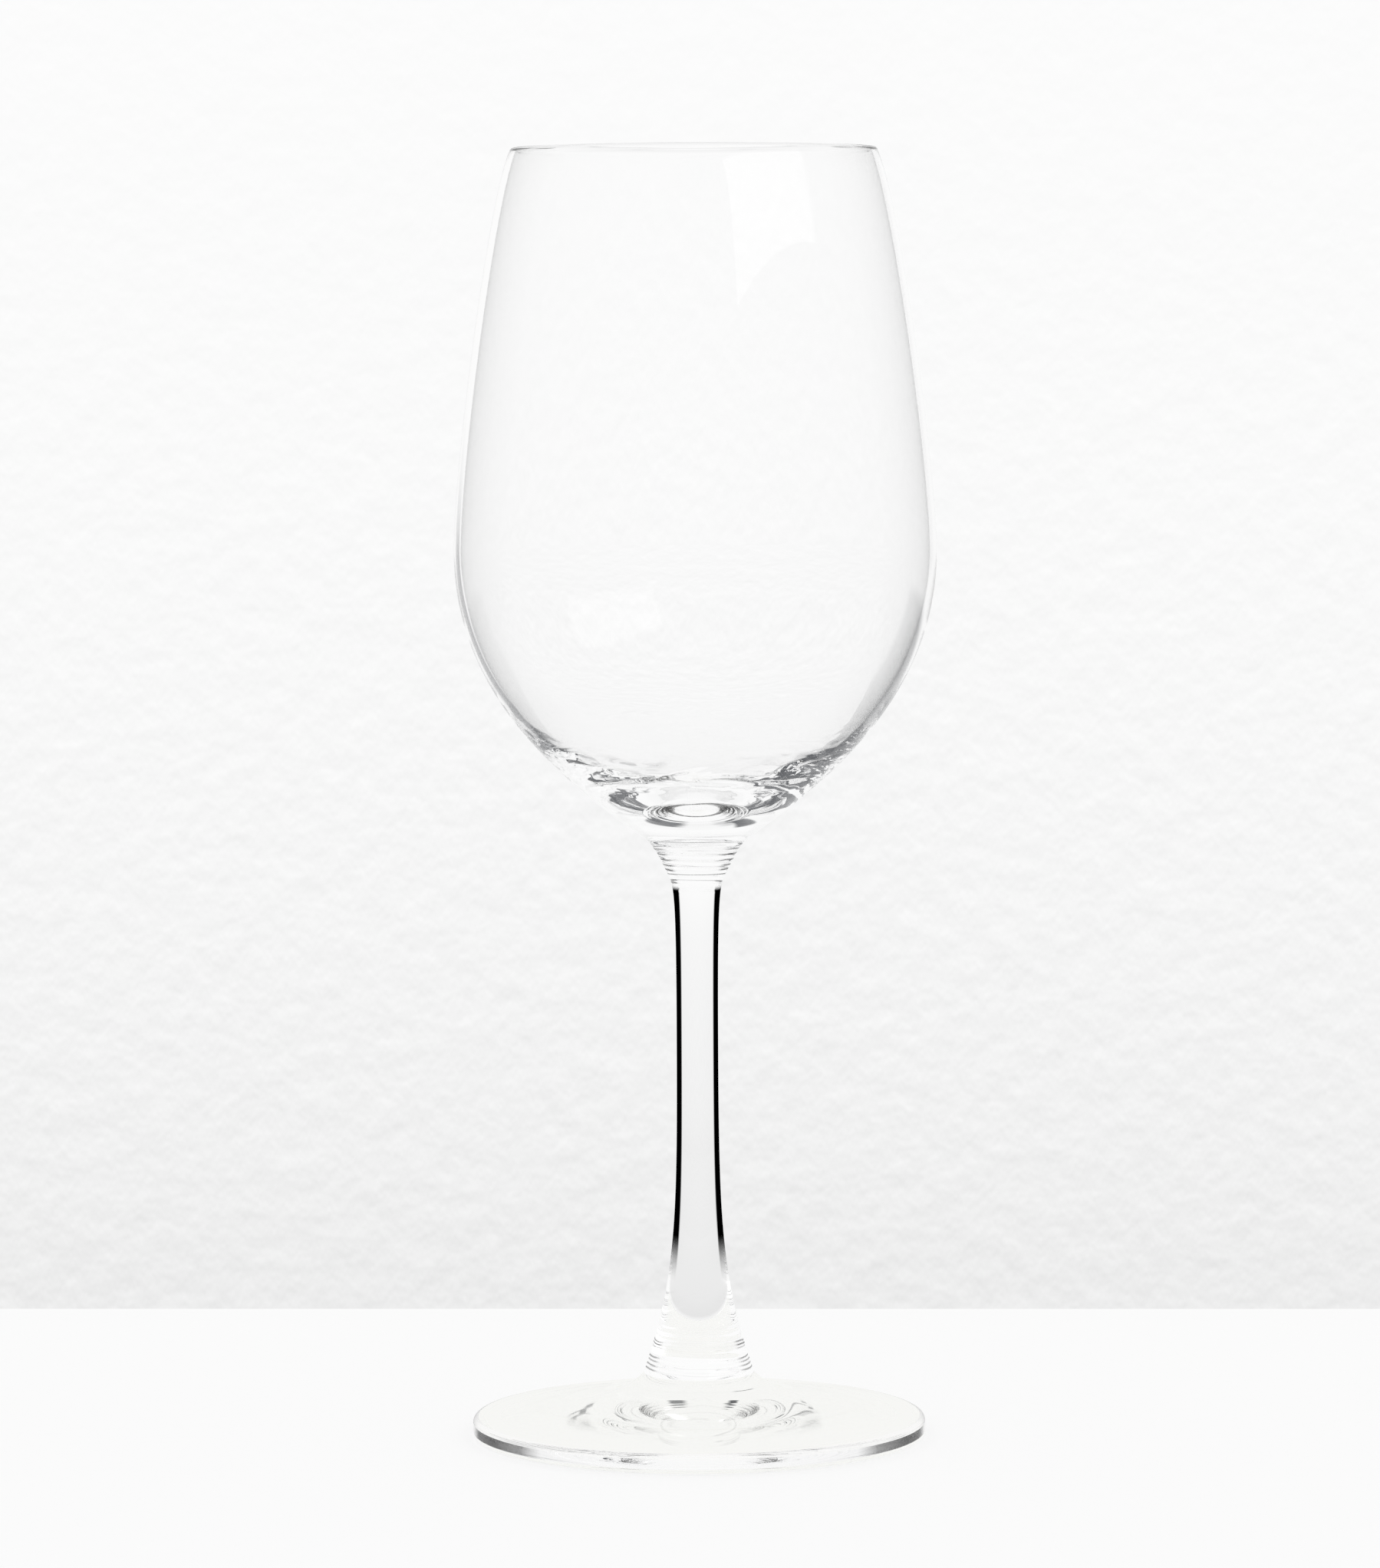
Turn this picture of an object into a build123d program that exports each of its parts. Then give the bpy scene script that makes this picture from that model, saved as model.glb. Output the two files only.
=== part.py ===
from build123d import *
import os

# Stemmed wine glass: a blown bowl, a pressed stem and a pressed foot, fused end to end.
# Lengths are millimetres. Z is up, and the origin is the centre of the ring that the foot rests on.
# A flare is the outward run for one unit of height. An ease is the share of a curve's length over
# which it keeps the direction that it has at that end.

# Foot
foot_diameter = 75.4
foot_height = 10.6            # table to the collar face that the stem is fused to
foot_edge_thickness = 3.5
foot_edge_round = 1.0         # radius of both corners of the edge
foot_top_slope = 8.0          # degrees, where the top runs out to the edge
foot_top_ease = 0.56
foot_collar_flare = 0.87
foot_collar_ease = 0.71
rest_ring_diameter = 68.0     # middle of the ring that touches the table
rest_ring_width = 2.6
underside_rise = 2.6          # height of the hollow under the foot, at its centre

# Stem
stem_lower_length = 58.4      # collar face to waist
stem_upper_length = 25.3      # waist to neck face
stem_waist_diameter = 6.9
stem_base_flare = 0.345
stem_base_ease = 0.28
stem_lower_ease = 0.55        # just below the waist
stem_upper_ease = 0.95        # just above the waist
stem_neck_ease = 0.085

# Fused joints
collar_joint_diameter = 18.4  # stem to foot
neck_joint_diameter = 9.9     # bowl to stem
neck_joint_flare = 0.47       # the same on both pieces

# Bowl
belly_diameter = 79.8
belly_height = 53.2           # neck face to the widest point
mouth_height = 66.5           # widest point to the top of the rim
rim_diameter = 60.6
wall = 1.1
floor_thickness = 11.7        # neck face to the inside bottom
nub_diameter = 17.2           # where the underside of the bowl turns into the nub
nub_height = 5.7
nub_ease = 0.2
underside_flare = 1.42        # where the underside meets the nub
underside_ease = 0.21
belly_lower_ease = 0.49
belly_upper_ease = 0.21
rim_turn = 0.5                # inward run for one unit of height at the rim
rim_ease = 0.1
inner_belly_ease = 0.5
inner_floor_ease = 0.58

neck_face_height = foot_height + stem_lower_length + stem_upper_length
collar_radius = collar_joint_diameter / 2
neck_radius = neck_joint_diameter / 2


def turned(*outline):
    """Solid turned about Z from the closed half outline, drawn as (radius, height)."""
    return revolve(Plane.XZ * make_face(Wire(outline)), Axis.Z)


def foot():
    """Foot with its collar, sloping top, rounded edge, resting ring and hollow underside."""
    foot_radius = foot_diameter / 2
    ring_inner = (rest_ring_diameter - rest_ring_width) / 2
    ring_outer = (rest_ring_diameter + rest_ring_width) / 2
    hollow = Bezier((0, underside_rise), (ring_inner / 2, underside_rise),
                    (ring_inner * 0.9, underside_rise / 4), (ring_inner, 0))
    ring = Line(hollow @ 1, (ring_outer, 0))
    lower_corner = Bezier(ring @ 1, (foot_radius, 0), (foot_radius, foot_edge_round))
    edge = Line(lower_corner @ 1, (foot_radius, foot_edge_thickness - foot_edge_round))
    upper_corner = JernArc(edge @ 1, (0, 1), foot_edge_round, 90 - foot_top_slope)
    rim_of_top = upper_corner @ 1
    run_in = (rim_of_top.X - collar_radius) * foot_top_ease
    fall = (foot_height - rim_of_top.Y) * foot_collar_ease
    top = Bezier(rim_of_top, rim_of_top + (upper_corner % 1) * run_in,
                 (collar_radius + foot_collar_flare * fall, foot_height - fall),
                 (collar_radius, foot_height))
    collar_face = Line(top @ 1, (0, foot_height))
    axis_line = Line(collar_face @ 1, hollow @ 0)
    return turned(hollow, ring, lower_corner, edge, upper_corner, top, collar_face, axis_line)


def stem():
    """Solid stem, standing on z = 0 at its collar face."""
    waist_radius = stem_waist_diameter / 2
    stem_length = stem_lower_length + stem_upper_length
    base_run = stem_lower_length * stem_base_ease
    neck_run = stem_upper_length * stem_neck_ease
    collar_face = Line((0, 0), (collar_radius, 0))
    lower = Bezier(collar_face @ 1, (collar_radius - stem_base_flare * base_run, base_run),
                   (waist_radius, stem_lower_length * (1 - stem_lower_ease)),
                   (waist_radius, stem_lower_length))
    upper = Bezier(lower @ 1, (waist_radius, stem_lower_length + stem_upper_length * stem_upper_ease),
                   (neck_radius - neck_joint_flare * neck_run, stem_length - neck_run),
                   (neck_radius, stem_length))
    neck_face = Line(upper @ 1, (0, stem_length))
    axis_line = Line(neck_face @ 1, collar_face @ 0)
    return turned(collar_face, lower, upper, neck_face, axis_line)


def bowl():
    """Bowl with the nub under it, standing on z = 0 at its neck face."""
    belly_radius = belly_diameter / 2
    rim_radius = rim_diameter / 2
    nub_radius = nub_diameter / 2
    lip_radius = wall / 2
    rim_height = belly_height + mouth_height
    lip_height = rim_height - lip_radius
    nub_run = nub_height * nub_ease
    underside_run = (belly_height - nub_height) * underside_ease
    lower_run = (belly_height - nub_height) * belly_lower_ease
    upper_run = (lip_height - belly_height) * belly_upper_ease
    rim_run = (lip_height - belly_height) * rim_ease
    inner_run = (belly_height - floor_thickness) * inner_belly_ease
    inner_radius = belly_radius - wall

    neck_face = Line((0, 0), (neck_radius, 0))
    nub = Bezier(neck_face @ 1, (neck_radius + neck_joint_flare * nub_run, nub_run),
                 (nub_radius - underside_flare * nub_run, nub_height - nub_run), (nub_radius, nub_height))
    underside = Bezier(nub @ 1, (nub_radius + underside_flare * underside_run, nub_height + underside_run),
                       (belly_radius, belly_height - lower_run), (belly_radius, belly_height))
    side = Bezier(underside @ 1, (belly_radius, belly_height + upper_run),
                  (rim_radius + rim_turn * rim_run, lip_height - rim_run), (rim_radius, lip_height))
    lip = ThreePointArc(side @ 1, (rim_radius - lip_radius, rim_height), (rim_radius - wall, lip_height))
    inner_side = Bezier(lip @ 1, (rim_radius - wall + rim_turn * rim_run, lip_height - rim_run),
                        (inner_radius, belly_height + upper_run), (inner_radius, belly_height))
    cavity_floor = Bezier(inner_side @ 1, (inner_radius, belly_height - inner_run),
                          (inner_radius * inner_floor_ease, floor_thickness), (0, floor_thickness))
    axis_line = Line(cavity_floor @ 1, neck_face @ 0)
    return turned(neck_face, nub, underside, side, lip, inner_side, cavity_floor, axis_line)


pieces = {
    "foot": foot(),
    "stem": Pos(0, 0, foot_height) * stem(),
    "bowl": Pos(0, 0, neck_face_height) * bowl(),
}

os.makedirs("parts", exist_ok=True)
for name, piece in pieces.items():
    export_step(piece, f"parts/{name}.step")
    box = piece.bounding_box()
    print(f"{name}: {piece.volume:.0f} mm3, z {box.min.Z:.2f} to {box.max.Z:.2f}, diameter {box.size.X:.2f}")
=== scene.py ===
"""Stemmed wine glass: a blown bowl, a pressed stem and a pressed foot, standing on a white table.

Lengths are metres. Z is up, and the origin is the centre of the ring that the foot rests on.
"""

import math

import bpy
import numpy as np
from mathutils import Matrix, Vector
from bpy.props import FloatProperty, FloatVectorProperty, IntProperty, PointerProperty


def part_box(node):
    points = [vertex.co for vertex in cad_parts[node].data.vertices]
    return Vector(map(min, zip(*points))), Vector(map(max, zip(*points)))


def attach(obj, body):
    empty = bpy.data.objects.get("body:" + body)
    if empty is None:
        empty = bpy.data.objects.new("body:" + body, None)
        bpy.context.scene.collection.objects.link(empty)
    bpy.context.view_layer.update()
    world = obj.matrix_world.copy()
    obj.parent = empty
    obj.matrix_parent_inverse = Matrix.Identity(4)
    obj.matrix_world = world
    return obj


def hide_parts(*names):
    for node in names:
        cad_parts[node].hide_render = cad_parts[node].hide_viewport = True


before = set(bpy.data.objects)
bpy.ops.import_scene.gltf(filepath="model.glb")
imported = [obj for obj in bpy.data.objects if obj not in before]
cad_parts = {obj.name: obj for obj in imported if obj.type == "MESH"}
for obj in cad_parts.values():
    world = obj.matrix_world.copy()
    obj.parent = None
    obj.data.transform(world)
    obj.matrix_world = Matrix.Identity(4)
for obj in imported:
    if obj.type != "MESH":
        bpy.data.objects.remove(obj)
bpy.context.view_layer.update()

bl_info = {
    "name": "Wine Glass",
    "version": (1, 0, 0),
    "blender": (4, 5, 0),
    "location": "3D View > Sidebar > Wine Glass",
    "description": "Makes a stemmed wine glass on a white table",
    "category": "Add Mesh",
}

BOWL_LOW, BOWL_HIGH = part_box("bowl")
STEM_LOW, STEM_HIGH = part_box("stem")
FOOT_LOW, FOOT_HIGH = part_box("foot")

# Shapes of the curves, the same as the solids'. A flare or turn is how far a curve leans sideways for one
# unit of height at that end. An ease is how far it holds on to that direction, as a share of its height or
# width.
FOOT_SLOPE = 8.0  # degrees that the top of the foot rises inwards
FOOT_TOP_EASE, FOOT_COLLAR_FLARE, FOOT_COLLAR_EASE = 0.56, 0.87, 0.71
STEM_BASE_FLARE, STEM_BASE_EASE, STEM_LOWER_EASE = 0.345, 0.28, 0.55
STEM_UPPER_EASE, NECK_EASE, NECK_FLARE = 0.95, 0.085, 0.47
NUB_EASE, UNDERSIDE_FLARE, UNDERSIDE_EASE = 0.2, 1.42, 0.21
BELLY_LOWER_EASE, BELLY_UPPER_EASE, RIM_TURN, RIM_EASE = 0.49, 0.21, 0.5, 0.1
INNER_BELLY_EASE, INNER_FLOOR_EASE = 0.5, 0.58
NEAR_AXIS = 1e-5  # smallest radius that slopes around are worked out for

# Painted shade in the grooves of the fine rings of the stem and the nub: height, half width and grey of each
# thin dark ring
STEM_DARK_RINGS = ((0.0104, 0.0002, 0.5), (0.0116, 0.0002, 0.3), (0.0123, 0.0002, 0.35), (0.0130, 0.0002, 0.4),
              (0.0136, 0.0002, 0.3), (0.0153, 0.00015, 0.5), (0.0158, 0.0002, 0.15), (0.0163, 0.0002, 0.3))
NUB_DARK_RINGS = ((0.0950, 0.00025, 0.1), (0.0958, 0.0002, 0.15), (0.0967, 0.0002, 0.2), (0.0976, 0.0002, 0.2),
             (0.0985, 0.0002, 0.4))
DARK_RING_WAVER = 0.0009  # how far the marks wander up and down
DARK_RING_MARGIN = 0.001  # kept clear below the first mark and above the last
DARK_RING_SIDES = ((0.0, 0.0), (0.36, 0.06), (0.5, 1.0), (1.0, 1.0))  # how much shows, by the turn of the surface

# Tint of the glass, or its grey, by how far the surface turns away: 0 square on, 1 along it. Greys that fall
# off towards the side are painted shade, the dark edges that dark surroundings would give through the glass.
PLAIN = ((0.0, 1.0), (1.0, 1.0))
FOOT_TINT = (0.95, 0.951, 0.93)
RIM_TINT = (0.985, 0.983, 0.976)
FOOT_SHADE = ((0.0, FOOT_TINT), (1.0, FOOT_TINT))
# Painted shade: dark bands near the side of the foot's edge
FOOT_EDGE_PAINTED_SHADE = ((0.0, 0.98), (0.30, 0.93), (0.40, 0.35), (0.6, 0.16), (0.78, 0.25), (0.9, 0.85),
                   (1.0, 0.95))
# Glass tint of the foot's rim, with painted shade darkening it towards the side
FOOT_RIM_TINT_AND_PAINTED_SHADE = ((0.0, RIM_TINT), (0.75, (0.96, 0.958, 0.95)), (0.92, 0.7), (1.0, 0.4))
# Painted shade: the stem's sides go black where the surface turns away
STEM_PAINTED_SHADE = ((0.0, 1.0), (0.33, 0.97), (0.38, 0.0), (1.0, 0.0))
# Painted shade: the inside of the bowl darkens towards its sides and its inner outline
INSIDE_PAINTED_SHADE = ((0.0, 1.0), (0.40, 0.985), (0.55, 0.95), (0.68, 0.90), (0.76, 0.85), (0.80, 0.83),
                (0.86, 0.75), (0.895, 0.58), (0.925, 0.34), (0.96, 0.2), (1.0, 0.12))

# Heights between which the painted shade goes from none to full
STEM_FADES = ((0.026, 0.034), (0.0923, 0.0914))
INSIDE_FADES = ((0.109, 0.122),)

# Streaks in the bottom of the bowl: the heights where they start, are full, are full again and end, their
# fineness, how much they are squeezed in height, and their depth
INSIDE_STREAKS = ((0.1068, 0.1095, 0.114, 0.123), 95.0, 3.0, 0.00022)

# Grey of the seam in the neck by the share of the neck's radius
NECK_SEAM = ((0.0, 1.0), (0.78, 1.0), (0.86, 0.3), (1.0, 0.1))

# Grey of the plaster wall by how much a line of sight rises over one unit of its length: mostly darker
# lower down, a painted shade towards the table
WALL_GREYS = ((-0.36, 0.93), (-0.30, 0.82), (-0.1585, 0.855), (-0.1545, 0.842), (-0.132, 0.875),
              (-0.0955, 0.911), (-0.0587, 0.938), (-0.0218, 0.955), (0.0515, 0.972))
WALL_LOWEST, WALL_HIGHEST = -0.4, 0.1
# For light from deep in the glass, what lies below the bend is squeezed towards it by this share
WALL_BEND, WALL_SQUEEZE = -0.05, 0.87
# Painted light and shade of the plaster's bumps: the wall's grey goes up and down with this relief
PLASTER_STEP = 0.0008  # the plaster's relief is its difference over this small rise

# Shade of the table by the distance from the glass's axis, for light straight through the bottom of the stem
TABLE_GREYS = ((0.0455, 0.765), (0.060, 0.81), (0.13, 0.845))
TABLE_CLEAR = 0.044  # nearer than this the table keeps its own colour
TABLE_EVEN = 0.85  # share of the table's white that is even; the rest takes light and shadow
LOW_WAY, LOW_START = 1.05, 0.005  # light from low down goes at most LOW_WAY times its reach, plus LOW_START

# Painted dark reflections: dark patches of the room, which only the glass sees. First the fewest and the most
# times that the light has been turned back inside the glass (None for no limit), then the patches: bearing of
# the left and the right side and how soft they are, bottom, height up to which it is full, top, and how dark
# it is. Angles are degrees, bearings go from straight behind the glass to the right.
DARK_REFLECTIONS = (
    (5, None, ((38, 66, 4, 22, 56, 64, 1.0), (-66, -47, 4, -20, -1, 2, 0.95), (-112, -68, 4, 0, 6, 8, 1.0),
               (-66, -44, 4, 28, 55, 62, 1.0))),
    (5, 7, ((35, 48, 3, -7, 31, 36, 1.0), (14, 37, 4, -7, 6, 8, 1.0), (-94, -48, 4, -10, 5, 8, 1.0),
            (-55, -45, 3, 12, 30, 34, 1.0))),
    (8, None, ((14, 34, 4, -7, 31, 36, 1.0), (34, 62, 4, 14, 56, 64, 1.0), (-112, -72, 4, -8, 50, 58, 1.0),
               (-76, -38, 4, 13.5, 50, 58, 1.0))),
    (10, None, ((34, 62, 4, 2, 56, 64, 1.0), (-112, -38, 5, -8, 50, 58, 1.0))),
)
# The same for light turned back once in the wall of the bowl, which paints the bowl's dark outline
OUTLINE_DARK_REFLECTIONS = ((-24, -14, 1.5, -30, -2.6, 1.2, 1.0), (6, 50, 3, -65, -11, -8, 0.88),
                    (18, 45, 3, -60, -14, -11, 0.97), (-50, -9, 3, -55, -12, -8, 0.32),
                    (-36, -24, 3, 36, 46, 50, 1.0), (10, 24, 3, 38, 45, 49, 0.8))
# Painted dark: light turned back this often is shown dark, whatever it would see
PAINTED_DARK_BOUNCES = (18, 44)  # light turned back at least and at most this often is dark from any side
MOST_BOUNCES = 96  # how often light is followed on, enough for the long ways inside the stem


# Shapes


def curve(*corners, steps=40):
    """Cubic curve: its four corners weighed by (1-t)^3, 3(1-t)^2 t, 3(1-t) t^2 and t^3 as t goes from 0 to 1.

    Returns the points (radius, height) and the direction at each, which is the curve's rate of change.
    """
    t = np.linspace(0.0, 1.0, steps + 1)[:, None]
    a, b, c, d = np.array(corners, float)
    points = (1 - t) ** 3 * a + 3 * (1 - t) ** 2 * t * b + 3 * (1 - t) * t * t * c + t**3 * d
    heading = (1 - t) ** 2 * (b - a) + 2 * (1 - t) * t * (c - b) + t * t * (d - c)
    return points, heading


def line(start, end, steps=2):
    """Straight run from start to end in equal steps, with one heading all along it."""
    t = np.linspace(0.0, 1.0, steps + 1)[:, None]
    a, b = np.array(start, float), np.array(end, float)
    return a + (b - a) * t, np.repeat((b - a)[None], steps + 1, axis=0)


def arc(centre, radius, first, last, steps=12):
    """Part of a circle: centre plus radius times (cos, sin) of an angle from first to last, in degrees."""
    turn = np.radians(np.linspace(first, last, steps + 1))
    way = math.copysign(1.0, last - first)
    points = np.array(centre, float) + radius * np.column_stack([np.cos(turn), np.sin(turn)])
    return points, way * np.column_stack([-np.sin(turn), np.cos(turn)])


def rings(height, spread, depth, pitch, lean=0.0):
    """Fine rings in a turned surface: depth * sin(2 pi (z + lean cos(a - towards)) / pitch), faded out by
    (1 - u^2)^2. Here z is measured from the height, and u is that distance over the spread, up to 1."""
    towards = 0.7

    def lift(a, r, z):
        u = np.clip((z - height) / spread, -1.0, 1.0)
        wave = np.sin(2 * math.pi * (z - height + lean * np.cos(a - towards)) / pitch)
        return depth * (1 - u * u) ** 2 * wave

    return lift


def turned(name, runs, around):
    """Closed surface of revolution: each point (r, z) of the outline goes to (r cos a, r sin a, z) for the
    angles a = 2 pi k / around, and then along its outward normal by the run's relief(a, r, z), if it has one.
    Where the outline starts or ends on the axis, its ring is a single pole.

    Runs follow the outline anticlockwise, so faces point outward. Each run is (points, headings, slot) or
    (points, headings, slot, relief). It shares its first ring with the last of the run before. The corners'
    normals come from the headings: n - (slope of the relief along the outline) t - (slope around) s.
    """
    angle = 2 * math.pi * np.arange(around) / around
    cos, sin = np.cos(angle), np.sin(angle)

    def swept(flat):
        heights = np.repeat(flat[:, 1:], around, axis=1)
        return np.stack([flat[:, :1] * cos, flat[:, :1] * sin, heights], axis=-1)

    rows, low, high, slot = [], [], [], []
    for points, heading, which, *relief in runs:
        unit = heading / np.linalg.norm(heading, axis=1)[:, None]
        place, normal = swept(points), swept(np.column_stack([unit[:, 1], -unit[:, 0]]))
        if relief:
            lift = relief[0](angle[None, :], points[:, :1], points[:, 1:])
            length = np.concatenate([[0.0], np.cumsum(np.linalg.norm(np.diff(points, axis=0), axis=1))])
            along = np.gradient(lift, length, axis=0)
            across = (np.roll(lift, -1, axis=1) - np.roll(lift, 1, axis=1)) / (2 * angle[1])
            across = across / np.maximum(points[:, :1], NEAR_AXIS)
            place = place + lift[..., None] * normal
            side = np.stack([-sin, cos, np.zeros(around)], axis=-1)
            normal = normal - along[..., None] * swept(unit) - across[..., None] * side
            normal = normal / np.linalg.norm(normal, axis=-1, keepdims=True)
        rows.append(place if not rows else place[1:])
        low.append(normal[:-1])
        high.append(normal[1:])
        slot.append(np.full(len(points) - 1, which))
    rows, low, high, slot = (np.concatenate(part) for part in (rows, low, high, slot))

    grid = rows[1:-1].reshape(-1, 3)
    first, last = len(grid), len(grid) + 1
    points = np.vstack([grid, rows[0, :1], rows[-1, :1]])
    here = np.arange(around)
    after = (here + 1) % around
    ring = np.arange(len(rows) - 3)[:, None] * around
    quads = np.stack([ring + here, ring + after, ring + around + after, ring + around + here], axis=-1)
    quads = quads.reshape(-1, 4)
    cap = np.column_stack([np.full(around, first), after, here])
    top = (len(rows) - 3) * around
    lid = np.column_stack([top + here, top + after, np.full(around, last)])
    quad_normals = np.stack([low[1:-1], np.roll(low[1:-1], -1, axis=1), np.roll(high[1:-1], -1, axis=1),
                             high[1:-1]], axis=2)
    cap_normals = np.stack([low[0], np.roll(high[0], -1, axis=0), high[0]], axis=1)
    lid_normals = np.stack([low[-1], np.roll(low[-1], -1, axis=0), high[-1]], axis=1)

    loops = np.concatenate([cap.ravel(), lid.ravel(), quads.ravel()])
    starts = np.concatenate([3 * np.arange(2 * around), 6 * around + 4 * np.arange(len(quads))])
    ends = np.full(around, slot[0]), np.full(around, slot[-1])
    which = np.concatenate([*ends, np.repeat(slot[1:-1], around)])
    corner = np.vstack([cap_normals.reshape(-1, 3), lid_normals.reshape(-1, 3), quad_normals.reshape(-1, 3)])

    mesh = bpy.data.meshes.new(name)
    mesh.vertices.add(len(points))
    mesh.vertices.foreach_set("co", points.ravel())
    mesh.loops.add(len(loops))
    mesh.loops.foreach_set("vertex_index", loops.astype(np.int32))
    mesh.polygons.add(len(starts))
    mesh.polygons.foreach_set("loop_start", starts.astype(np.int32))
    mesh.polygons.foreach_set("material_index", which.astype(np.int32))
    mesh.polygons.foreach_set("use_smooth", np.ones(len(starts), bool))
    mesh.update(calc_edges=True)
    if mesh.validate():
        raise RuntimeError(f"{name} came out broken")
    mesh.normals_split_custom_set(corner.tolist())
    piece = bpy.data.objects.new(name, mesh)
    bpy.context.scene.collection.objects.link(piece)
    return piece


# Finishes


def new_finish(name):
    """New material with an empty node tree, that tree, and its output node."""
    finish = bpy.data.materials.new(name)
    finish.use_nodes = True
    finish.node_tree.nodes.clear()
    return finish, finish.node_tree, finish.node_tree.nodes.new("ShaderNodeOutputMaterial")


def feed(tree, socket, value):
    """Link another node's output to the socket, or write a number into it."""
    if isinstance(value, bpy.types.NodeSocket):
        tree.links.new(value, socket)
    else:
        socket.default_value = value


def sums(tree, operation, *values):
    """One Math node of the given operation."""
    node = tree.nodes.new("ShaderNodeMath")
    node.operation = operation
    for socket, value in zip(node.inputs, values):
        feed(tree, socket, value)
    return node.outputs[0]


def stretch(tree, value, low, high, to_low=0.0, to_high=1.0, easing="SMOOTHSTEP"):
    """The value carried from low...high to to_low...to_high and held at the ends."""
    node = tree.nodes.new("ShaderNodeMapRange")
    node.interpolation_type = easing
    names = ("Value", "From Min", "From Max", "To Min", "To Max")
    for name, number in zip(names, (value, low, high, to_low, to_high)):
        feed(tree, node.inputs[name], number)
    return node.outputs["Result"]


def ramp(tree, fed_by, stops):
    """Colour ramp of greys or colours at the given places."""
    node = tree.nodes.new("ShaderNodeValToRGB")
    elements = node.color_ramp.elements
    while len(elements) < len(stops):
        elements.new(0.5)
    for element, (place, colour) in zip(elements, stops):
        element.position = place
        colour = (colour,) * 3 if isinstance(colour, (int, float)) else colour
        element.color = (*colour, 1.0)
    tree.links.new(fed_by, node.inputs["Fac"])
    return node.outputs["Color"]


def blended(tree, share, first, second, way="MIX"):
    """First colour mixed with the second by the share."""
    node = tree.nodes.new("ShaderNodeMix")
    node.data_type, node.blend_type = "RGBA", way
    for place, value in zip((0, 6, 7), (share, first, second)):
        feed(tree, node.inputs[place], value)
    return node.outputs[2]


def mixed_shader(tree, share, first, second, output):
    """Send the first shader, mixed with the second by the share, to the output."""
    node = tree.nodes.new("ShaderNodeMixShader")
    for socket, value in zip(node.inputs, (share, first.outputs[0], second.outputs[0])):
        feed(tree, socket, value)
    tree.links.new(node.outputs[0], output.inputs["Surface"])


def vector_sum(tree, operation, *values):
    """One Vector Math node of the given operation."""
    node = tree.nodes.new("ShaderNodeVectorMath")
    node.operation = operation
    for socket, value in zip(node.inputs, values):
        feed(tree, socket, value)
    return node


def object_place(tree):
    """Place on the piece."""
    return tree.nodes.new("ShaderNodeTexCoord").outputs["Object"]


def apart(tree, vector):
    """X, Y and Z of a vector."""
    node = tree.nodes.new("ShaderNodeSeparateXYZ")
    tree.links.new(vector, node.inputs["Vector"])
    return node.outputs["X"], node.outputs["Y"], node.outputs["Z"]


def noise(tree, place, scale, detail, roughness=0.5, distortion=0.0):
    """Cloudy noise, from 0 to 1."""
    node = tree.nodes.new("ShaderNodeTexNoise")
    values = {"Vector": place, "Scale": scale, "Detail": detail, "Roughness": roughness,
              "Distortion": distortion}
    for name, value in values.items():
        feed(tree, node.inputs[name], value)
    return node.outputs["Fac"]


def streaks(tree, band, scale, squeeze, depth):
    """Bump of wavy streaks round the glass: noise squeezed in height. The four heights of the band are where
    the streaks start, are full, are full again and end."""
    place = object_place(tree)
    z = apart(tree, place)[2]
    mapping = tree.nodes.new("ShaderNodeMapping")
    mapping.inputs["Scale"].default_value = (1.0, 1.0, squeeze)
    tree.links.new(place, mapping.inputs["Vector"])
    height = noise(tree, mapping.outputs["Vector"], scale, detail=1.6, distortion=0.8)
    for low, high, start, end in ((band[0], band[1], 0.0, 1.0), (band[2], band[3], 1.0, 0.0)):
        height = sums(tree, "MULTIPLY", height, stretch(tree, z, low, high, start, end))
    bump = tree.nodes.new("ShaderNodeBump")
    bump.inputs["Distance"].default_value = depth
    tree.links.new(height, bump.inputs["Height"])
    return bump.outputs["Normal"]


def painted_ring_shade(tree, colour, facing, marks):
    """The colour, darkened in thin rings of painted shade at the marks, which waver a little and show only
    where the surface turns away."""
    low, high = marks[0][0] - DARK_RING_MARGIN, marks[-1][0] + DARK_RING_MARGIN
    place = object_place(tree)
    z = apart(tree, place)[2]
    waver = sums(tree, "MULTIPLY_ADD", noise(tree, place, scale=160.0, detail=1.0), DARK_RING_WAVER, z)
    share = stretch(tree, waver, low + DARK_RING_WAVER / 2, high + DARK_RING_WAVER / 2, easing="LINEAR")
    stops = [((z + way * half - low) / (high - low), grey if way == 0 else 1.0)
             for z, half, grey in marks for way in (-1, 0, 1)]
    return blended(tree, ramp(tree, facing, DARK_RING_SIDES), colour, ramp(tree, share, stops), "MULTIPLY")


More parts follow.
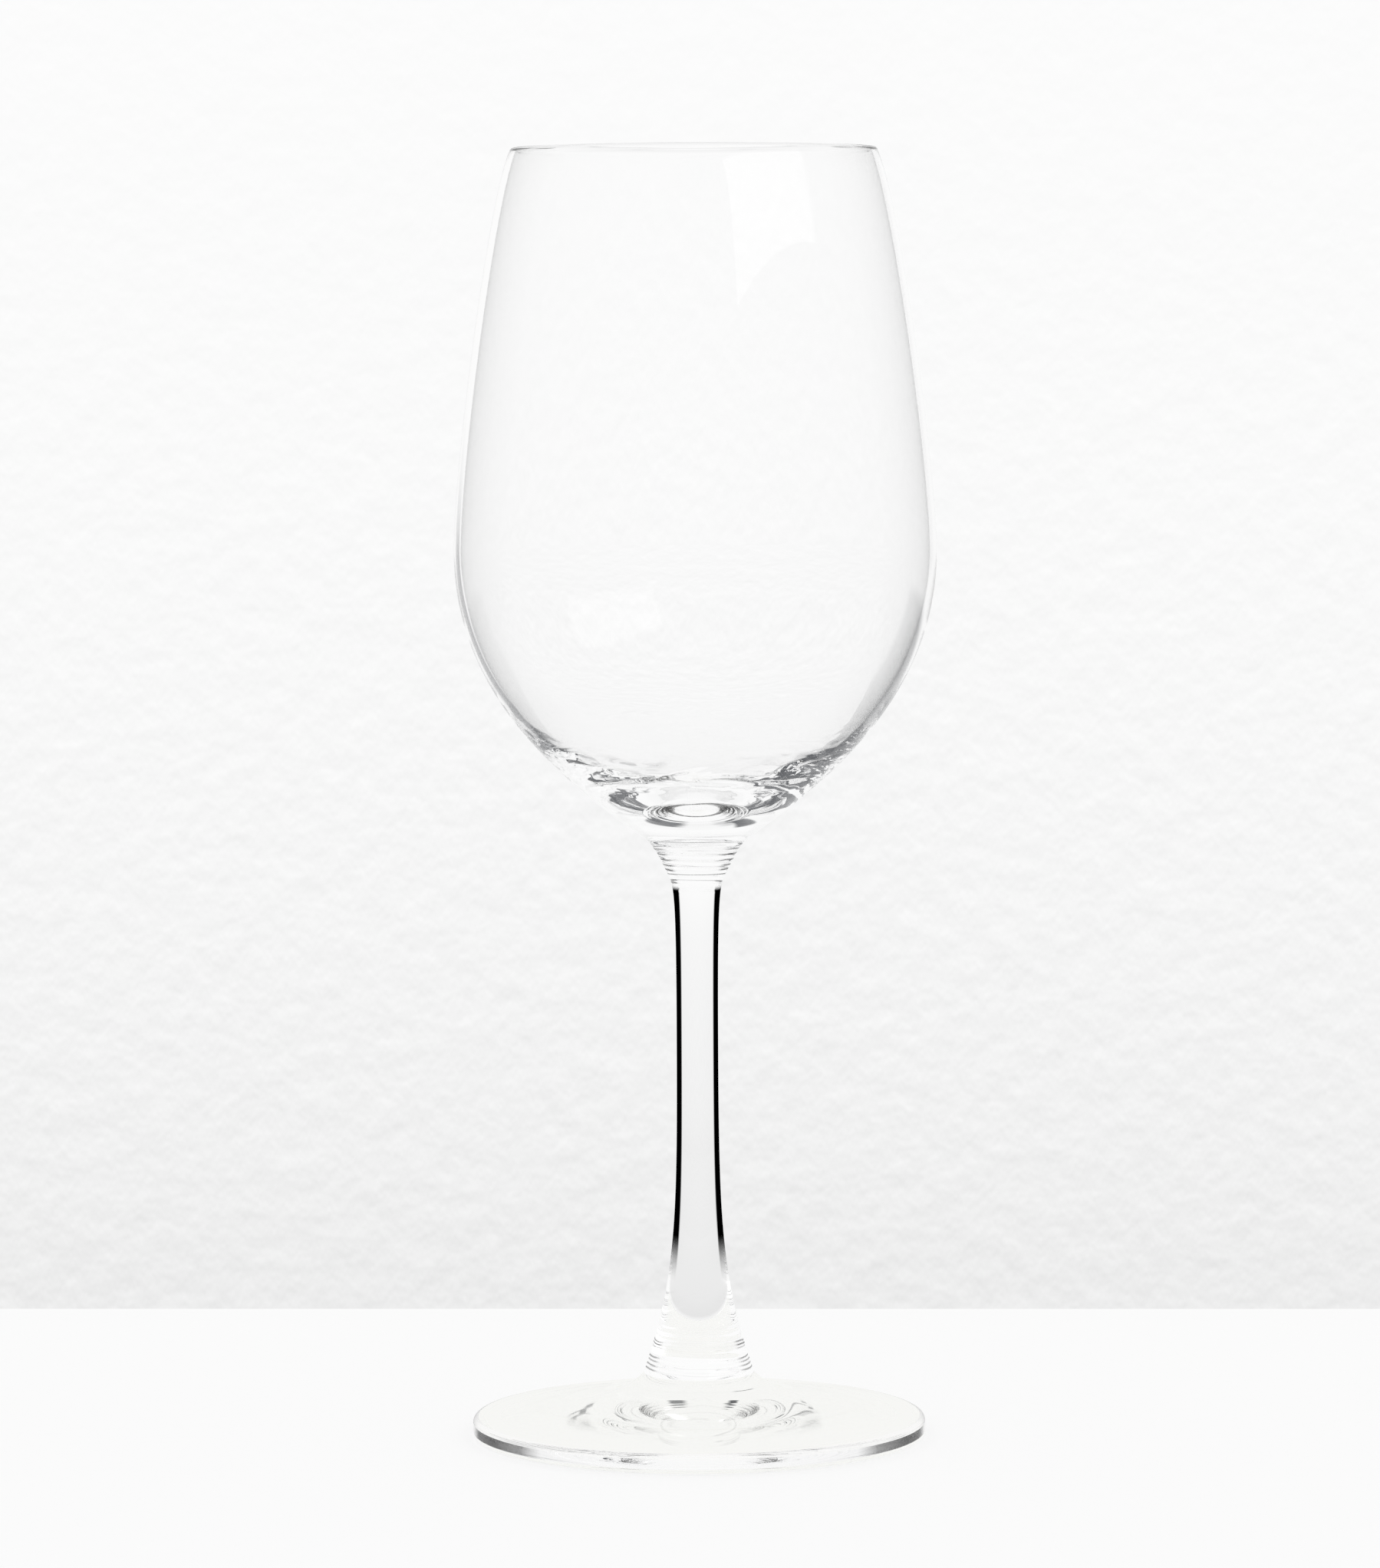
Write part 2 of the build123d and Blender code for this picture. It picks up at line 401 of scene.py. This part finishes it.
def clear_glass(name, shade, fades=(), streak=None, marks=(), first=False):
    """Clear glass, tinted by its shade where light enters it; where that shade darkens towards the side, it
    is painted shade.

    Between the two heights of each fade, the tint goes from none to full. The streak is the band, scale,
    squeeze and depth of the streaks. With first on, light that has met other glass before is not tinted, so
    the painted shade falls only on light straight from the camera.
    """
    finish, tree, output = new_finish(name)
    glass = tree.nodes.new("ShaderNodeBsdfGlass")
    glass.inputs["IOR"].default_value = 1.5
    glass.inputs["Roughness"].default_value = 0.0
    facing = tree.nodes.new("ShaderNodeLayerWeight").outputs["Facing"]
    plain = tree.nodes.new("ShaderNodeNewGeometry").outputs["Backfacing"]
    for none, full in fades:
        z = apart(tree, object_place(tree))[2]
        rise = stretch(tree, z, min(none, full), max(none, full), float(none < full), float(none > full))
        plain = sums(tree, "MAXIMUM", rise, plain)
    if first:
        seen = tree.nodes.new("ShaderNodeLightPath").outputs["Is Camera Ray"]
        plain = sums(tree, "MAXIMUM", sums(tree, "SUBTRACT", 1.0, seen), plain)
    colour = blended(tree, plain, ramp(tree, facing, shade), (1, 1, 1, 1))
    if marks:
        colour = painted_ring_shade(tree, colour, facing, marks)
    tree.links.new(colour, glass.inputs["Color"])
    if streak:
        tree.links.new(streaks(tree, *streak), glass.inputs["Normal"])
    tree.links.new(glass.outputs["BSDF"], output.inputs["Surface"])
    return finish


def fused_face(name="fused_face", seam=()):
    """The face inside a fused joint, where glass runs on into glass and light passes straight on. The seam
    is its grey at distances from the axis."""
    finish, tree, output = new_finish(name)
    clear = tree.nodes.new("ShaderNodeBsdfTransparent")
    if seam:
        flat = vector_sum(tree, "MULTIPLY", object_place(tree), (1.0, 1.0, 0.0)).outputs[0]
        reach = vector_sum(tree, "LENGTH", flat).outputs["Value"]
        widest = seam[-1][0]
        shade = ramp(tree, sums(tree, "DIVIDE", reach, widest), [(far / widest, grey) for far, grey in seam])
        tree.links.new(shade, clear.inputs["Color"])
    tree.links.new(clear.outputs["BSDF"], output.inputs["Surface"])
    return finish


# Settings


class WINEGLASS_PG_bowl(bpy.types.PropertyGroup):
    """Sizes of the bowl."""

    belly_diameter: FloatProperty(name="Belly", description="Diameter at the widest point",
                                  default=0.0798, unit="LENGTH")
    belly_height: FloatProperty(name="Belly Height", description="Neck face to the widest point",
                                default=0.0532, unit="LENGTH")
    rim_diameter: FloatProperty(name="Rim", description="Outer diameter of the rim",
                                default=0.0606, unit="LENGTH")
    wall: FloatProperty(name="Wall", description="Thickness of the blown wall", default=0.0011, unit="LENGTH")
    floor_thickness: FloatProperty(name="Floor", description="Neck face to the inside bottom",
                                   default=0.0117, unit="LENGTH")
    nub_diameter: FloatProperty(name="Nub", description="Diameter of the nub under the bowl",
                                default=0.0172, unit="LENGTH")
    nub_height: FloatProperty(name="Nub Height", description="Neck face to the bowl's underside",
                              default=0.0057, unit="LENGTH")


class WINEGLASS_PG_stem(bpy.types.PropertyGroup):
    """Sizes of the stem."""

    waist_diameter: FloatProperty(name="Waist", description="Narrowest diameter",
                                  default=0.0069, unit="LENGTH")
    lower_length: FloatProperty(name="Lower Length", description="Collar face to the waist",
                                default=0.0584, unit="LENGTH")
    neck_diameter: FloatProperty(name="Neck", description="Diameter where the bowl is fused on",
                                 default=0.0099, unit="LENGTH")
    collar_diameter: FloatProperty(name="Collar", description="Diameter where the foot is fused on",
                                   default=0.0184, unit="LENGTH")


class WINEGLASS_PG_foot(bpy.types.PropertyGroup):
    """Sizes of the foot."""

    diameter: FloatProperty(name="Diameter", description="Outer diameter of the foot",
                            default=0.0754, unit="LENGTH")
    edge_thickness: FloatProperty(name="Edge", description="Thickness of the edge",
                                  default=0.0035, unit="LENGTH")
    edge_round: FloatProperty(name="Edge Round", description="Radius of the edge's corners",
                              default=0.001, unit="LENGTH")
    ring_diameter: FloatProperty(name="Rest Ring", description="Middle diameter of the ring on the table",
                                 default=0.068, unit="LENGTH")
    ring_width: FloatProperty(name="Ring Width", description="Width of the ring on the table",
                              default=0.0026, unit="LENGTH")
    rise: FloatProperty(name="Hollow", description="Height of the hollow under the foot",
                        default=0.0026, unit="LENGTH")


class WINEGLASS_PG_stage(bpy.types.PropertyGroup):
    """Table and camera."""

    table_behind: FloatProperty(name="Behind", description="Table behind the glass's axis",
                                default=0.134, unit="LENGTH")
    table_turn: FloatProperty(name="Edge Turn", description="Degrees that the table's back edge is turned",
                              default=1.63)
    table_thickness: FloatProperty(name="Slab", description="Thickness of the table top",
                                   default=0.024, unit="LENGTH")
    eye_distance: FloatProperty(name="Distance", description="Camera to the glass's axis, level",
                                default=1.029, unit="LENGTH")
    eye_height: FloatProperty(name="Eye Height", description="Camera above the table",
                              default=0.185, unit="LENGTH")
    lens: FloatProperty(name="Lens", description="Focal length for a 36 mm sensor",
                        default=142.9, unit="CAMERA")


class WINEGLASS_PG_finish(bpy.types.PropertyGroup):
    """Smoothness and colours."""

    around: IntProperty(name="Around", description="Steps around the bowl and the foot", default=360, min=32)
    stem_around: IntProperty(name="Around Stem", description="Steps around the stem", default=240, min=32)
    table_colour: FloatVectorProperty(name="Table", description="Colour of the table",
                                      default=(0.98, 0.98, 0.98), subtype="COLOR", min=0, max=1)
    # Colour of the painted dark reflections that the glass shows
    reflection_dark: FloatVectorProperty(name="Doorways", description="Dark of the doorways seen in the glass",
                                   default=(0.03, 0.035, 0.045), subtype="COLOR", min=0, max=1)


# Pieces


class WINEGLASS_OT_foot(bpy.types.Operator):
    """Make the pressed foot with its collar, sloping top, rounded edge and hollow underside"""

    bl_idname = "wineglass.foot"
    bl_label = "Foot"

    def execute(self, context):
        scene = context.scene
        size, stem, finish = scene.wineglass_foot, scene.wineglass_stem, scene.wineglass_finish
        radius, collar = size.diameter / 2, stem.collar_diameter / 2
        height = FOOT_HIGH.z
        inner, outer = (size.ring_diameter - size.ring_width) / 2, (size.ring_diameter + size.ring_width) / 2
        slope = math.radians(FOOT_SLOPE)
        edge_top = size.edge_thickness - size.edge_round
        hollow = curve((0, size.rise), (inner / 2, size.rise), (inner * 0.9, size.rise / 4), (inner, 0),
                       steps=48)
        ring = line((inner, 0), (outer, 0), steps=3)
        lower_corner = curve((outer, 0), ((outer + 2 * radius) / 3, 0), (radius, size.edge_round / 3),
                             (radius, size.edge_round), steps=12)
        edge = line((radius, size.edge_round), (radius, edge_top), steps=2)
        upper_corner = arc((radius - size.edge_round, edge_top), size.edge_round, 0, 90 - FOOT_SLOPE,
                           steps=12)
        top_rim = upper_corner[0][-1]
        run_in = (top_rim[0] - collar) * FOOT_TOP_EASE
        fall = (height - top_rim[1]) * FOOT_COLLAR_EASE
        top = curve(top_rim, top_rim + run_in * np.array([-math.cos(slope), math.sin(slope)]),
                    (collar + FOOT_COLLAR_FLARE * fall, height - fall), (collar, height), steps=96)
        joint = line((collar, height), (0, height), steps=3)
        piece = turned("foot_glass", [(*hollow, 0), (*ring, 0), (*lower_corner, 0), (*edge, 2),
                                      (*upper_corner, 3), (*top, 0), (*joint, 1)], finish.around)
        looks = piece.data.materials
        looks.append(clear_glass("foot_glass", FOOT_SHADE))
        looks.append(fused_face())
        looks.append(clear_glass("foot_edge_glass", FOOT_EDGE_PAINTED_SHADE))
        looks.append(clear_glass("foot_rim_glass", FOOT_RIM_TINT_AND_PAINTED_SHADE))
        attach(piece, "root")
        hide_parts("foot")
        return {"FINISHED"}


class WINEGLASS_OT_stem(bpy.types.Operator):
    """Make the solid stem, flared at the collar and at the neck"""

    bl_idname = "wineglass.stem"
    bl_label = "Stem"

    def execute(self, context):
        size, finish = context.scene.wineglass_stem, context.scene.wineglass_finish
        waist, neck, collar = size.waist_diameter / 2, size.neck_diameter / 2, size.collar_diameter / 2
        base, lower, top = STEM_LOW.z, size.lower_length, STEM_HIGH.z
        middle = base + lower
        upper = top - middle
        face = line((0, base), (collar, base), steps=3)
        low = curve((collar, base),
                    (collar - STEM_BASE_FLARE * STEM_BASE_EASE * lower, base + STEM_BASE_EASE * lower),
                    (waist, middle - STEM_LOWER_EASE * lower), (waist, middle), steps=190)
        high = curve((waist, middle), (waist, middle + STEM_UPPER_EASE * upper),
                     (neck - NECK_FLARE * NECK_EASE * upper, top - NECK_EASE * upper), (neck, top), steps=170)
        lid = line((neck, top), (0, top), steps=3)
        base_rings = rings(base + 0.0036, spread=0.0036, depth=0.00005, pitch=0.0014, lean=0.0004)
        neck_rings = rings(top - 0.0019, spread=0.0019, depth=0.00002, pitch=0.0009, lean=0.0003)
        neck_seam = [(share * neck, grey) for share, grey in NECK_SEAM]
        piece = turned("stem_glass", [(*face, 1), (*low, 0, base_rings), (*high, 0, neck_rings), (*lid, 2)],
                       finish.stem_around)
        looks = piece.data.materials
        looks.append(clear_glass("stem_glass", STEM_PAINTED_SHADE, STEM_FADES, marks=STEM_DARK_RINGS, first=True))
        looks.append(fused_face())
        looks.append(fused_face("neck_seam", neck_seam))
        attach(piece, "root")
        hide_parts("stem")
        return {"FINISHED"}


class WINEGLASS_OT_bowl(bpy.types.Operator):
    """Make the blown bowl with its rounded lip, its wall that thickens downwards and the nub under it"""

    bl_idname = "wineglass.bowl"
    bl_label = "Bowl"

    def execute(self, context):
        scene = context.scene
        size, stem, finish = scene.wineglass_bowl, scene.wineglass_stem, scene.wineglass_finish
        base, top, wall = BOWL_LOW.z, BOWL_HIGH.z, size.wall
        neck, nub = stem.neck_diameter / 2, size.nub_diameter / 2
        belly, rim = size.belly_diameter / 2, size.rim_diameter / 2
        inside = belly - wall
        widest = base + size.belly_height
        shoulder = base + size.nub_height
        floor = base + size.floor_thickness
        lip = top - wall / 2
        nub_run = NUB_EASE * size.nub_height
        under_run = UNDERSIDE_EASE * (widest - shoulder)
        lower_run = BELLY_LOWER_EASE * (widest - shoulder)
        upper_run = BELLY_UPPER_EASE * (lip - widest)
        rim_run = RIM_EASE * (lip - widest)
        face = line((0, base), (neck, base), steps=3)
        knop = curve((neck, base), (neck + NECK_FLARE * nub_run, base + nub_run),
                     (nub - UNDERSIDE_FLARE * nub_run, shoulder - nub_run), (nub, shoulder), steps=54)
        under = curve((nub, shoulder), (nub + UNDERSIDE_FLARE * under_run, shoulder + under_run),
                      (belly, widest - lower_run), (belly, widest), steps=64)
        side = curve((belly, widest), (belly, widest + upper_run), (rim + RIM_TURN * rim_run, lip - rim_run),
                     (rim, lip), steps=36)
        edge = arc((rim - wall / 2, lip), wall / 2, 0, 180, steps=12)
        inner_side = curve((rim - wall, lip), (rim - wall + RIM_TURN * rim_run, lip - rim_run),
                           (inside, widest + upper_run), (inside, widest), steps=36)
        cavity = curve((inside, widest), (inside, widest - INNER_BELLY_EASE * (widest - floor)),
                       (INNER_FLOOR_EASE * inside, floor), (0, floor), steps=72)
        nub_rings = rings(base + 0.0034, spread=0.0034, depth=0.00006, pitch=0.00115, lean=0.0003)
        piece = turned("bowl_glass", [(*face, 2), (*knop, 0, nub_rings), (*under, 0), (*side, 0), (*edge, 0),
                                      (*inner_side, 1), (*cavity, 1)], finish.around)
        looks = piece.data.materials
        looks.append(clear_glass("bowl_outer_glass", PLAIN, marks=NUB_DARK_RINGS))
        looks.append(clear_glass("bowl_inner_glass", INSIDE_PAINTED_SHADE, INSIDE_FADES, INSIDE_STREAKS))
        looks.append(fused_face())
        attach(piece, "root")
        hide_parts("bowl")
        return {"FINISHED"}


class WINEGLASS_OT_stage(bpy.types.Operator):
    """Make the white table, the pale plaster backdrop, the window light and the camera"""

    bl_idname = "wineglass.stage"
    bl_label = "Stage"

    def execute(self, context):
        scene, size, finish = context.scene, context.scene.wineglass_stage, context.scene.wineglass_finish
        self.table(size, finish)
        self.room(scene, finish)
        self.window(scene)
        self.camera(scene, size)
        scene.view_settings.view_transform = "Standard"
        cycles = scene.cycles
        cycles.max_bounces = cycles.glossy_bounces = cycles.transmission_bounces = MOST_BOUNCES
        return {"FINISHED"}

    def table(self, size, finish):
        """Slab: the corners of a box from the back edge to well in front of the camera, with a small bevel.

        Light that has gone straight through the bottom of the stem, in and out with no turn inside, sees the
        table in shade. Such light starts low down: its way is hardly longer than its reach over the table.
        """
        side, front, back, thick = 2.5, -2.5, size.table_behind, size.table_thickness
        skew = math.tan(math.radians(size.table_turn)) * side
        corners = np.array([(way * side, y - way * skew * (y == back), z)
                            for z in (-thick, 0) for y in (front, back) for way in (-1, 1)])
        faces = [(0, 2, 3, 1), (4, 5, 7, 6), (0, 1, 5, 4), (2, 6, 7, 3), (0, 4, 6, 2), (1, 3, 7, 5)]
        mesh = bpy.data.meshes.new("table")
        mesh.from_pydata(corners.tolist(), [], faces)
        slab = bpy.data.objects.new("table", mesh)
        bpy.context.scene.collection.objects.link(slab)
        bevel = slab.modifiers.new("edge", "BEVEL")
        bevel.width, bevel.segments = 0.001, 3

        paint, tree, output = new_finish("table_white")
        colour = (*finish.table_colour, 1)
        shader = tree.nodes.new("ShaderNodeBsdfDiffuse")
        shader.inputs["Color"].default_value = colour
        path = tree.nodes.new("ShaderNodeLightPath").outputs
        reach = vector_sum(tree, "LENGTH", object_place(tree)).outputs["Value"]
        own = tuple(finish.table_colour)
        shade = ramp(tree, reach, ((0.0, own), (TABLE_CLEAR, own), *TABLE_GREYS))
        straight = sums(tree, "MULTIPLY", sums(tree, "COMPARE", path["Transmission Depth"], 2.0, 0.1),
                        sums(tree, "LESS_THAN", path["Glossy Depth"], 0.5))
        longest = sums(tree, "MULTIPLY_ADD", reach, LOW_WAY, LOW_START)
        low_down = sums(tree, "LESS_THAN", path["Ray Length"], longest)
        shown = tree.nodes.new("ShaderNodeEmission")
        tone = blended(tree, sums(tree, "MULTIPLY", straight, low_down), colour, shade)
        tree.links.new(tone, shown.inputs["Color"])
        share = sums(tree, "MULTIPLY", path["Is Camera Ray"], TABLE_EVEN)
        for kind in ("Is Glossy Ray", "Is Transmission Ray"):
            share = sums(tree, "MAXIMUM", share, path[kind])
        mixed_shader(tree, share, shader, shown, output)
        mesh.materials.append(paint)

    def room(self, scene, finish):
        """World: pale plaster wall for what the camera and the glass see, and even light for the rest.

        The glass also sees painted dark reflections, dark patches of the room, each only by light that has
        been turned back inside the glass as often as its set says.
        """
        world = bpy.data.worlds.new("room")
        scene.world = world
        world.use_nodes = True
        tree = world.node_tree
        tree.nodes.clear()
        output = tree.nodes.new("ShaderNodeOutputWorld")
        sight = tree.nodes.new("ShaderNodeTexCoord").outputs["Generated"]
        x, y, height = apart(tree, sight)
        bearing = sums(tree, "ARCTAN2", x, y)
        path = tree.nodes.new("ShaderNodeLightPath").outputs

        def turned_back(fewest, most=None):
            """1 for light turned back inside the glass at least and at most so often."""
            enough = sums(tree, "GREATER_THAN", path["Glossy Depth"], fewest - 0.5)
            if most is None:
                return enough
            return sums(tree, "MULTIPLY", enough, sums(tree, "LESS_THAN", path["Glossy Depth"], most + 0.5))

        def dark_patch(left, right, soft, low, full, top, strength):
            """Painted dark patch of bearing and height: strength inside, falling to 0 over the soft borders.
            """
            sides = [math.radians(angle) for angle in (left - soft, left + soft, right - soft, right + soft)]
            across = sums(tree, "MULTIPLY", stretch(tree, bearing, *sides[:2]),
                          stretch(tree, bearing, *sides[2:], 1.0, 0.0))
            low, start, full, top = (math.sin(math.radians(angle)) for angle in (low - 1, low + 1, full, top))
            along = sums(tree, "MULTIPLY", stretch(tree, height, low, start),
                         stretch(tree, height, full, top, 1.0, 0.0))
            return sums(tree, "MULTIPLY", sums(tree, "MULTIPLY", across, along), strength)

        def plaster(lift):
            """Unevenness of the wall, seen higher up by the lift."""
            raised = vector_sum(tree, "ADD", sight, (0.0, 0.0, lift)).outputs[0]
            return noise(tree, raised, scale=230.0, detail=3.0, roughness=0.55)

        through = sums(tree, "GREATER_THAN", path["Transmission Depth"], 2.5)
        deep = sums(tree, "MAXIMUM", through, turned_back(1))
        low = sums(tree, "MINIMUM", sums(tree, "SUBTRACT", height, WALL_BEND), 0.0)
        squeezed = sums(tree, "MULTIPLY", sums(tree, "MULTIPLY", low, WALL_SQUEEZE), deep)
        backdrop = sums(tree, "SUBTRACT", height, squeezed)
        share = stretch(tree, backdrop, WALL_LOWEST, WALL_HIGHEST, easing="LINEAR")
        span = WALL_HIGHEST - WALL_LOWEST
        wall = ramp(tree, share, [((rise - WALL_LOWEST) / span, grey) for rise, grey in WALL_GREYS])
        # Painted light and shade: the wall is lighter on one side of each plaster bump and darker on the
        # other, more so lower down
        relief = sums(tree, "SUBTRACT", plaster(PLASTER_STEP), plaster(0.0))
        depth = stretch(tree, height, low=-0.16, high=0.06, to_low=0.32, to_high=0.06)
        lit = vector_sum(tree, "SCALE", wall)
        tree.links.new(sums(tree, "ADD", sums(tree, "MULTIPLY", relief, depth), 1.0), lit.inputs["Scale"])

        # Painted dark reflections in the glass, picked by how often light has turned back inside it
        two_faces = sums(tree, "COMPARE", path["Transmission Depth"], 2.0, 0.1)
        in_wall = sums(tree, "MULTIPLY", turned_back(1, 1), two_faces)
        dark = turned_back(*PAINTED_DARK_BOUNCES)
        sets = [(turned_back(fewest, most), patches) for fewest, most, patches in DARK_REFLECTIONS]
        for gate, patches in (*sets, (in_wall, OUTLINE_DARK_REFLECTIONS)):
            widest = 0.0
            for patch in patches:
                widest = sums(tree, "MAXIMUM", widest, dark_patch(*patch))
            dark = sums(tree, "MAXIMUM", dark, sums(tree, "MULTIPLY", widest, gate))
        dark = sums(tree, "MULTIPLY", dark, sums(tree, "SUBTRACT", 1.0, path["Is Camera Ray"]))
        seen, light = tree.nodes.new("ShaderNodeBackground"), tree.nodes.new("ShaderNodeBackground")
        tree.links.new(blended(tree, dark, lit.outputs[0], (*finish.reflection_dark, 1)), seen.inputs["Color"])
        light.inputs["Color"].default_value = (1, 1, 1, 1)
        light.inputs["Strength"].default_value = 0.9
        either = sums(tree, "MAXIMUM", sums(tree, "MAXIMUM", path["Is Camera Ray"], path["Is Glossy Ray"]),
                      path["Is Transmission Ray"])
        mixed_shader(tree, either, light, seen, output)

    def window(self, scene):
        """One window-shaped area lamp, to the right in front of the glass and above it."""
        data = bpy.data.lights.new("window", "AREA")
        data.shape = "RECTANGLE"
        data.size, data.size_y = 1.9, 0.75
        data.energy = 1.7
        lamp = bpy.data.objects.new("window", data)
        scene.collection.objects.link(lamp)
        place, target = np.array([1.4, -1.25, 1.2]), np.array([0.0, 0.0, 0.15])
        lamp.location = place
        lamp.rotation_mode = "QUATERNION"
        lamp.rotation_quaternion = Vector(target - place).to_track_quat("-Z", "Y")

    def camera(self, scene, size):
        """Camera at the eye's height, turned down by its pitch and rolled a little."""
        pitch, roll, turn = 4.226, 0.26, 0.039
        data = bpy.data.cameras.new("camera")
        data.lens, data.sensor_width = size.lens, 36.0
        data.clip_start, data.clip_end = 0.05, 50.0
        camera = bpy.data.objects.new("camera", data)
        scene.collection.objects.link(camera)
        camera.location = (0.0, -size.eye_distance, size.eye_height)
        camera.rotation_mode = "XYZ"
        camera.rotation_euler = (math.radians(90 - pitch), math.radians(roll), math.radians(turn))
        scene.camera = camera


# Panel


class WINEGLASS_PT_panel(bpy.types.Panel):
    """Lists the pieces of the glass and their sizes"""

    bl_label = "Wine Glass"
    bl_idname = "WINEGLASS_PT_panel"
    bl_space_type = "VIEW_3D"
    bl_region_type = "UI"
    bl_category = "Wine Glass"

    def draw(self, context):
        for key, group, operator in PARTS:
            box = self.layout.box()
            settings = getattr(context.scene, key)
            for name in group.__annotations__:
                box.prop(settings, name)
            if operator:
                box.operator(operator.bl_idname)


PARTS = (
    ("wineglass_foot", WINEGLASS_PG_foot, WINEGLASS_OT_foot),
    ("wineglass_stem", WINEGLASS_PG_stem, WINEGLASS_OT_stem),
    ("wineglass_bowl", WINEGLASS_PG_bowl, WINEGLASS_OT_bowl),
    ("wineglass_finish", WINEGLASS_PG_finish, None),
    ("wineglass_stage", WINEGLASS_PG_stage, WINEGLASS_OT_stage),
)


def register():
    """Make the settings, operators and panel known to Blender."""
    for key, group, operator in PARTS:
        bpy.utils.register_class(group)
        setattr(bpy.types.Scene, key, PointerProperty(type=group))
        if operator:
            bpy.utils.register_class(operator)
    bpy.utils.register_class(WINEGLASS_PT_panel)


def unregister():
    """Take the panel, operators and settings away again."""
    bpy.utils.unregister_class(WINEGLASS_PT_panel)
    for key, group, operator in reversed(PARTS):
        if operator:
            bpy.utils.unregister_class(operator)
        delattr(bpy.types.Scene, key)
        bpy.utils.unregister_class(group)


def main():
    """Make the stage and every piece."""
    register()
    bpy.ops.wineglass.stage()
    bpy.ops.wineglass.foot()
    bpy.ops.wineglass.stem()
    bpy.ops.wineglass.bowl()


if __name__ == "__main__":
    main()
